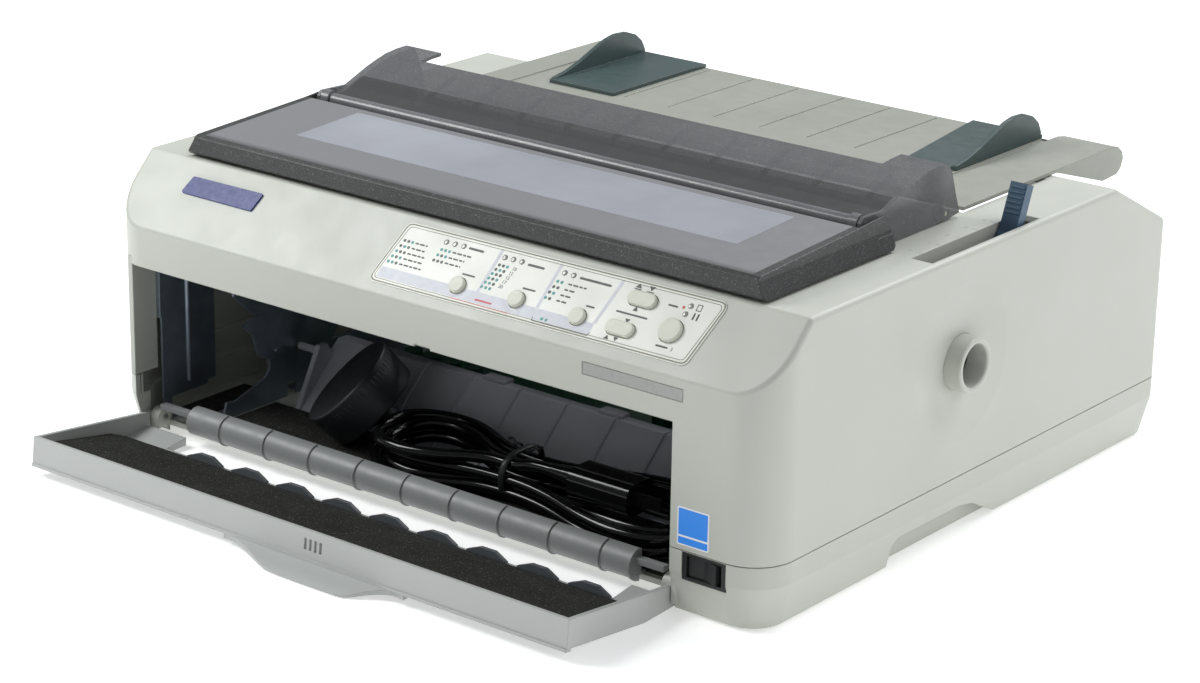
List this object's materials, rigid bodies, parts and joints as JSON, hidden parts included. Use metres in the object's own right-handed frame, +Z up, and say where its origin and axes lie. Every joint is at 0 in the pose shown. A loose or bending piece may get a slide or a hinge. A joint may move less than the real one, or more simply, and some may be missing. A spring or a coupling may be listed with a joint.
{
  "type": "dot matrix printer",
  "caption": "Desktop dot matrix printer with its front paper cover folded open, smoked top lid, rear paper table, side guides, loose platen knob and a tied mains lead in the front bay.",
  "frame": {"origin": "on the desk, at the middle of the rectangle that the printer covers with its front cover open", "axes": "+Z up; -Y toward the user and the open front cover, +Y to the rear paper slot; +X to the right seen from the front, toward the knob opening"},
  "size_m": [0.4218, 0.4509, 0.1752],
  "materials": {
    "case_plastic": "fine texture",
    "foot_rubber": "matte",
    "screw_steel": "plain",
    "foam": "open cell",
    "guide_plastic": "satin",
    "inner_plastic": "satin",
    "zinc_sheet": "zinc plated",
    "platen_rubber": "ground",
    "bright_steel": "ground",
    "gear_plastic": "plain",
    "pinion_brass": "plain",
    "black_plastic": "satin",
    "motor_steel": "satin",
    "head_alloy": "cast",
    "belt_rubber": "matte",
    "ribbon_fabric": "inked",
    "board": "lacquered",
    "socket_metal": "plain",
    "panel_film": "printed",
    "button_plastic": "satin",
    "smoke_plastic": "smoked",
    "smoke_window": "smoked clear",
    "roller_plastic": "satin",
    "rear_plastic": "fine texture",
    "edge_plastic": "satin",
    "lever_plastic": "satin",
    "knob_plastic": "satin",
    "cord_rubber": "gloss"
  },
  "bodies": {
    "case": {"base_pan": "case_plastic", "upper_case": "case_plastic", "rubber_feet": "foot_rubber", "case_screws": "screw_steel", "cover_hinge_pins": "screw_steel", "base_foam": "foam", "front_guide_bar": "guide_plastic", "inner_paper_guide": "inner_plastic", "left_shield": "zinc_sheet", "left_frame": "zinc_sheet", "right_frame": "zinc_sheet", "shaft_bushings": "inner_plastic", "feed_motor": "motor_steel", "carriage_rod": "bright_steel", "drive_belt": "belt_rubber", "carriage_motor": "motor_steel", "motor_mounts": "zinc_sheet", "ribbon_cartridge": "black_plastic", "ink_ribbon": "ribbon_fabric", "main_board": "board", "power_board": "board", "panel_board": "board", "mains_inlet": "black_plastic", "interface_sockets": "socket_metal", "control_panel": "panel_film", "switch_body": "black_plastic", "knob_collar": "case_plastic", "power_cord": "cord_rubber", "mains_plug": "cord_rubber", "cord_connector": "cord_rubber"},
    "cover": {"front_cover": "case_plastic", "cover_foam": "foam"},
    "lid": {"printer_lid": "smoke_plastic", "lid_window": "smoke_window"},
    "unit": {"tension_unit": "smoke_plastic"},
    "roller": {"tension_roller": "roller_plastic"},
    "rear_guide": {"rear_paper_guide": "rear_plastic"},
    "left_guide": {"left_edge_guide": "edge_plastic"},
    "right_guide": {"right_edge_guide": "edge_plastic"},
    "lever": {"release_lever": "lever_plastic"},
    "platen": {"platen": "platen_rubber", "platen_shaft": "bright_steel", "platen_gear": "gear_plastic"},
    "pinion": {"feed_pinion": "pinion_brass"},
    "idler": {"idler_gear": "gear_plastic"},
    "tractor_drive": {"tractor_shaft": "bright_steel"},
    "left_tractor": {"left_tractor": "black_plastic"},
    "right_tractor": {"right_tractor": "black_plastic"},
    "carriage": {"carriage": "black_plastic", "print_head": "head_alloy"},
    "drive_pulley": {"drive_pulley": "black_plastic"},
    "idler_pulley": {"idler_pulley": "black_plastic"},
    "font_button": {"font_button": "button_plastic"},
    "pitch_button": {"pitch_button": "button_plastic"},
    "tear_button": {"tear_button": "button_plastic"},
    "load_button": {"load_button": "button_plastic"},
    "feed_button": {"feed_button": "button_plastic"},
    "pause_button": {"pause_button": "button_plastic"},
    "rocker": {"power_rocker": "black_plastic"},
    "loose_knob": {"platen_knob": "knob_plastic"}
  },
  "joints": [
    {"name": "cover_hinge", "type": "hinge", "parent": "case", "child": "cover", "pos_m": [-0.022, -0.12925, 0.009], "axis": [-1, 0, 0], "range_deg": [0, 83.8]},
    {"name": "lid_hinge", "type": "hinge", "parent": "case", "child": "lid", "pos_m": [-0.004, -0.00825, 0.151], "axis": [-1, 0, 0], "range_deg": [0, 85]},
    {"name": "unit_hinge", "type": "hinge", "parent": "case", "child": "unit", "pos_m": [-0.004, 0.05075, 0.1495], "axis": [-1, 0, 0], "range_deg": [0, 7.5]},
    {"name": "roller_spin", "type": "hinge", "parent": "unit", "child": "roller", "pos_m": [-0.004, -0.01905, 0.1599], "axis": [1, 0, 0], "continuous": true},
    {"name": "guide_hinge", "type": "hinge", "parent": "case", "child": "rear_guide", "pos_m": [-0.011, 0.07325, 0.1468], "axis": [1, 0, 0], "range_deg": [0, 40]},
    {"name": "left_guide_slide", "type": "slide", "parent": "rear_guide", "child": "left_guide", "axis": [1, 0, 0], "range_m": [-0.015, 0.06]},
    {"name": "right_guide_slide", "type": "slide", "parent": "rear_guide", "child": "right_guide", "axis": [1, 0, 0], "range_m": [-0.1, 0.004]},
    {"name": "lever_turn", "type": "hinge", "parent": "case", "child": "lever", "pos_m": [0.193, 0.03625, 0.1], "axis": [1, 0, 0], "range_deg": [-9, 64]},
    {"name": "platen_turn", "type": "hinge", "parent": "case", "child": "platen", "pos_m": [-0.004, 0.01535, 0.0913], "axis": [1, 0, 0], "continuous": true},
    {"name": "pinion_turn", "type": "hinge", "parent": "case", "child": "pinion", "pos_m": [-0.171, 0.00035, 0.06532], "axis": [1, 0, 0], "continuous": true},
    {"name": "idler_turn", "type": "hinge", "parent": "case", "child": "idler", "pos_m": [-0.171, 0.06746, 0.07712], "axis": [1, 0, 0], "continuous": true},
    {"name": "tractor_turn", "type": "hinge", "parent": "case", "child": "tractor_drive", "pos_m": [-0.004, 0.10875, 0.095], "axis": [1, 0, 0], "continuous": true},
    {"name": "left_tractor_slide", "type": "slide", "parent": "case", "child": "left_tractor", "axis": [1, 0, 0], "range_m": [-0.04, 0.07]},
    {"name": "right_tractor_slide", "type": "slide", "parent": "case", "child": "right_tractor", "axis": [1, 0, 0], "range_m": [-0.06, 0.06]},
    {"name": "carriage_slide", "type": "slide", "parent": "case", "child": "carriage", "axis": [1, 0, 0], "range_m": [0, 0.2032]},
    {"name": "drive_pulley_turn", "type": "hinge", "parent": "case", "child": "drive_pulley", "pos_m": [-0.141, -0.05725, 0.07], "axis": [0, 0, 1], "continuous": true},
    {"name": "idler_pulley_turn", "type": "hinge", "parent": "case", "child": "idler_pulley", "pos_m": [0.146, -0.05725, 0.07], "axis": [0, 0, 1], "continuous": true},
    {"name": "font_button_press", "type": "slide", "parent": "case", "child": "font_button", "axis": [0, 0.7127, -0.7014], "range_m": [0, 0.0012], "stiffness_N_per_m": 300, "springref_m": -0.001},
    {"name": "pitch_button_press", "type": "slide", "parent": "case", "child": "pitch_button", "axis": [0, 0.7127, -0.7014], "range_m": [0, 0.0012], "stiffness_N_per_m": 300, "springref_m": -0.001},
    {"name": "tear_button_press", "type": "slide", "parent": "case", "child": "tear_button", "axis": [0, 0.7127, -0.7014], "range_m": [0, 0.0012], "stiffness_N_per_m": 300, "springref_m": -0.001},
    {"name": "load_button_press", "type": "slide", "parent": "case", "child": "load_button", "axis": [0, 0.7127, -0.7014], "range_m": [0, 0.0012], "stiffness_N_per_m": 300, "springref_m": -0.001},
    {"name": "feed_button_press", "type": "slide", "parent": "case", "child": "feed_button", "axis": [0, 0.7127, -0.7014], "range_m": [0, 0.0012], "stiffness_N_per_m": 300, "springref_m": -0.001},
    {"name": "pause_button_press", "type": "slide", "parent": "case", "child": "pause_button", "axis": [0, 0.7127, -0.7014], "range_m": [0, 0.0012], "stiffness_N_per_m": 300, "springref_m": -0.001},
    {"name": "rocker_turn", "type": "hinge", "parent": "case", "child": "rocker", "pos_m": [0.1698, -0.13465, 0.0256], "axis": [0, 0, 1], "range_deg": [0, 14]},
    {"name": "knob_lift_out", "type": "slide", "parent": "case", "child": "loose_knob", "axis": [0, -0.9026, 0.4305], "range_m": [0, 0.12]}
  ],
  "couplings": [
    {"joint": "pinion_turn", "follows": "platen_turn", "ratio": -4},
    {"joint": "idler_turn", "follows": "platen_turn", "ratio": -0.8},
    {"joint": "tractor_turn", "follows": "platen_turn", "ratio": 1.6},
    {"joint": "drive_pulley_turn", "follows": "carriage_slide", "rad_per_m": -164.47},
    {"joint": "idler_pulley_turn", "follows": "carriage_slide", "rad_per_m": -164.47}
  ]
}
